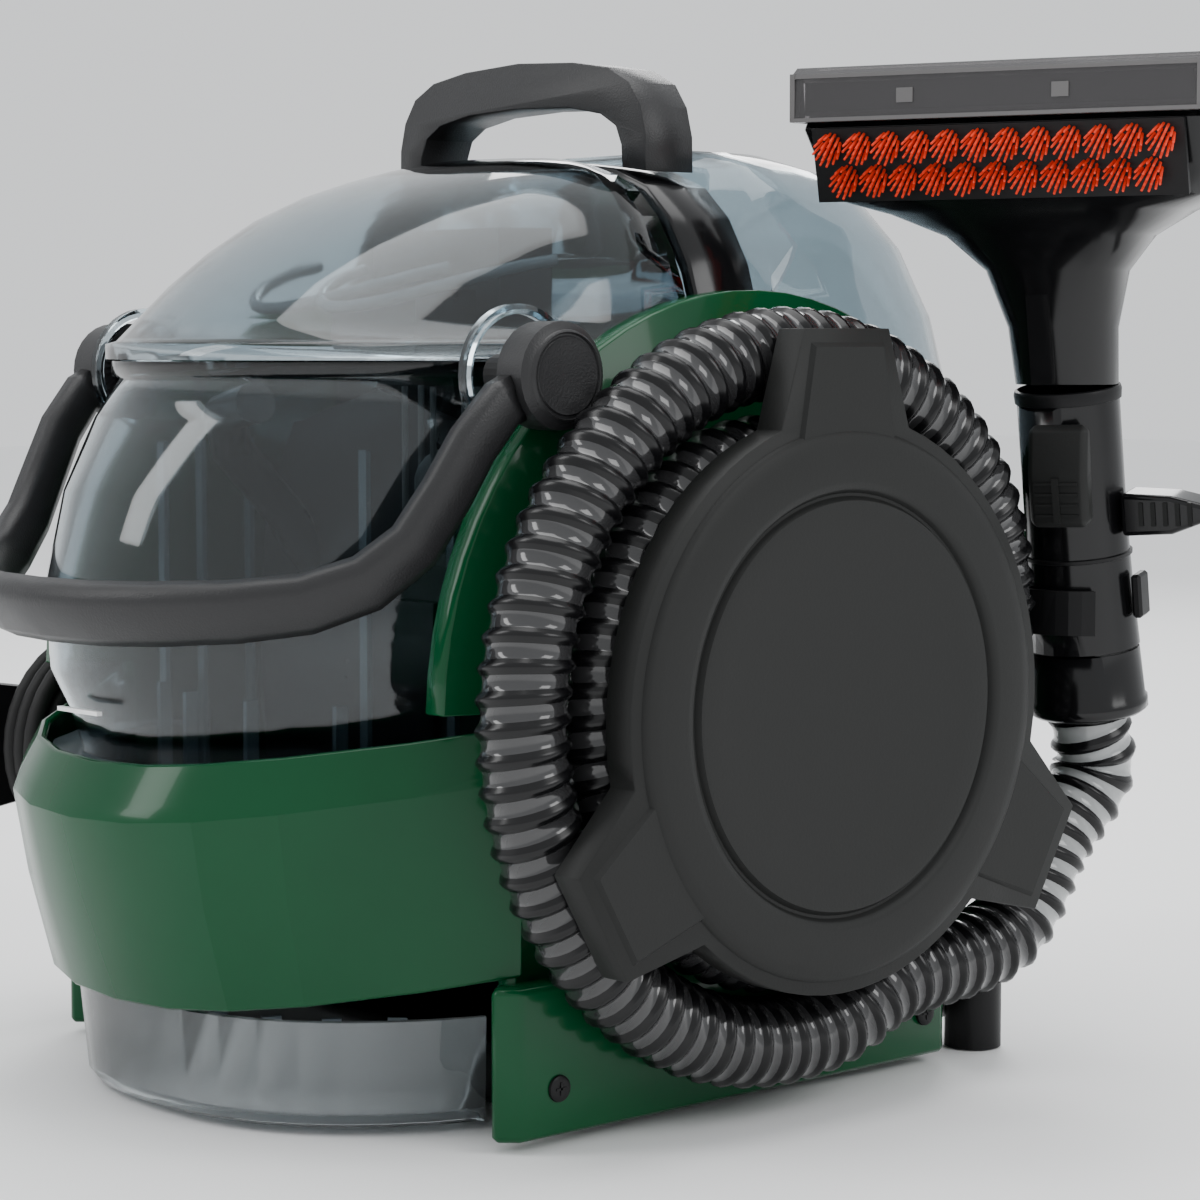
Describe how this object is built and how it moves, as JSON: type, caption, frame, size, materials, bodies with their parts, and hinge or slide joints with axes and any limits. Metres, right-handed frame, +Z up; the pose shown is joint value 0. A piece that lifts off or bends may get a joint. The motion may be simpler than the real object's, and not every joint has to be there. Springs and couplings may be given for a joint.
{
  "type": "portable spot extractor",
  "caption": "Portable spot cleaner with a lift-out front tank, a suction hose wound round a side drum, an upright wand with a brush head, a swinging bail and a carry handle",
  "frame": {"origin": "centre of the bounding box's base, on the floor under the machine, measured without the hose and the mains cord", "axes": "+Z up, -Y towards the front tank, +X towards the hose side"},
  "size_m": [0.4167, 0.3914, 0.362],
  "materials": {
    "green_plastic": "glossy moulded deep green",
    "smoked_clear_plastic": "clear smoky blue-grey moulded plastic",
    "black_plastic": "satin black",
    "gloss_black_plastic": "polished black",
    "handle_plastic": "fine textured dark grey",
    "charcoal_plastic": "matte charcoal",
    "black_rubber": "matte black rubber",
    "grey_plastic": "plain grey moulded",
    "steel": "zinc plated steel",
    "visor_clear_plastic": "clear smoked visor",
    "smoked_hose": "translucent smoky wall with a black spiral rib",
    "red_bristle": "orange-red nylon bristle",
    "float_foam": "closed-cell foam"
  },
  "bodies": {
    "body": {"side_wall_right": "green_plastic", "side_wall_left": "green_plastic", "side_skirt_right": "green_plastic", "side_skirt_left": "green_plastic", "front_band": "green_plastic", "front_skirt": "smoked_clear_plastic", "clean_tank": "smoked_clear_plastic", "clean_tank_floor": "smoked_clear_plastic", "chassis_base": "black_plastic", "rear_housing": "black_plastic", "fan_shroud": "black_plastic", "fan_mount": "black_plastic", "hose_drum": "black_plastic", "hose_port": "black_plastic", "cord_hook_front": "black_plastic", "cord_hook_front_plate": "black_plastic", "cord_hook_rear": "black_plastic", "switch_bezel": "black_plastic", "skirt_screw_1": "black_plastic", "skirt_screw_2": "black_plastic", "rear_stop_left": "black_plastic", "rear_stop_right": "black_plastic", "arch_frame": "gloss_black_plastic", "wand_handle": "gloss_black_plastic", "wand_hook": "gloss_black_plastic", "carry_handle": "handle_plastic", "hose_cover": "charcoal_plastic", "foot_front_left": "black_rubber", "foot_front_right": "black_rubber", "foot_rear_left": "black_rubber", "foot_rear_right": "black_rubber", "cord_hank": "black_rubber", "cord_strain_relief": "black_rubber", "cord_lead": "black_rubber", "cord_tail": "black_rubber", "mains_plug": "black_rubber", "solution_pump": "grey_plastic", "wand_dock": "grey_plastic", "vacuum_motor": "steel", "suction_hose": "smoked_hose"},
    "recovery_tank": {"recovery_tank": "smoked_clear_plastic", "tank_inlet_duct": "black_plastic", "lid_seal": "black_rubber", "bail_pivot_right": "black_plastic", "bail_pivot_left": "black_plastic"},
    "tank_lid": {"tank_lid": "smoked_clear_plastic"},
    "bail": {"bail_handle": "handle_plastic", "bail_hub_right": "handle_plastic", "bail_hub_left": "handle_plastic"},
    "float": {"float_ball": "float_foam"},
    "fan": {"fan_impeller": "grey_plastic", "motor_shaft": "steel"},
    "wand_trigger": {"wand_trigger": "charcoal_plastic"},
    "wand_button": {"wand_button": "black_plastic"},
    "hose_cuff": {"hose_cuff": "gloss_black_plastic"},
    "tool_head": {"tool_head": "gloss_black_plastic", "tool_visor": "visor_clear_plastic", "brush_block": "red_bristle"},
    "power_switch": {"power_switch": "green_plastic"},
    "cord_hook_rear_plate": {"cord_hook_rear_plate": "black_plastic"}
  },
  "joints": [
    {"name": "tank_lift", "type": "slide", "parent": "body", "child": "recovery_tank", "axis": [0, 0, 1], "range_m": [0, 0.15]},
    {"name": "lid_lift", "type": "slide", "parent": "recovery_tank", "child": "tank_lid", "axis": [0, 0, 1], "range_m": [0, 0.06]},
    {"name": "bail_swing", "type": "hinge", "parent": "recovery_tank", "child": "bail", "pos_m": [-0.036, -0.0694, 0.25], "axis": [-1, 0, 0], "range_deg": [0, 120]},
    {"name": "float_rise", "type": "slide", "parent": "recovery_tank", "child": "float", "axis": [0, 0, 1], "range_m": [0, 0.02]},
    {"name": "fan_spin", "type": "hinge", "parent": "body", "child": "fan", "pos_m": [-0.036, 0.0786, 0.053], "axis": [0, 0, 1], "continuous": true},
    {"name": "trigger_squeeze", "type": "hinge", "parent": "body", "child": "wand_trigger", "pos_m": [0.12457, 0.13159, 0.22993], "axis": [0.9394, 0.3419, 0.0262], "range_deg": [0, 5], "stiffness_Nm_per_rad": 0.6},
    {"name": "button_press", "type": "slide", "parent": "body", "child": "wand_button", "axis": [-0.9394, -0.3419, -0.0262], "range_m": [0, 0.0007], "stiffness_N_per_m": 400},
    {"name": "cuff_turn", "type": "hinge", "parent": "body", "child": "hose_cuff", "pos_m": [0.114, 0.1686, 0.126], "axis": [0.0262, -0.1477, 0.9887], "range_deg": [-180, 180]},
    {"name": "tool_head_pull", "type": "slide", "parent": "body", "child": "tool_head", "axis": [0.0262, -0.1477, 0.9887], "range_m": [0, 0.04]},
    {"name": "switch_rock", "type": "hinge", "parent": "body", "child": "power_switch", "pos_m": [-0.084, 0.1361, 0.166], "axis": [1, 0, 0], "range_deg": [-7, 7]},
    {"name": "rear_hook_turn", "type": "hinge", "parent": "body", "child": "cord_hook_rear_plate", "pos_m": [-0.1528, 0.0716, 0.106], "axis": [1, 0, 0], "range_deg": [0, 180]}
  ]
}
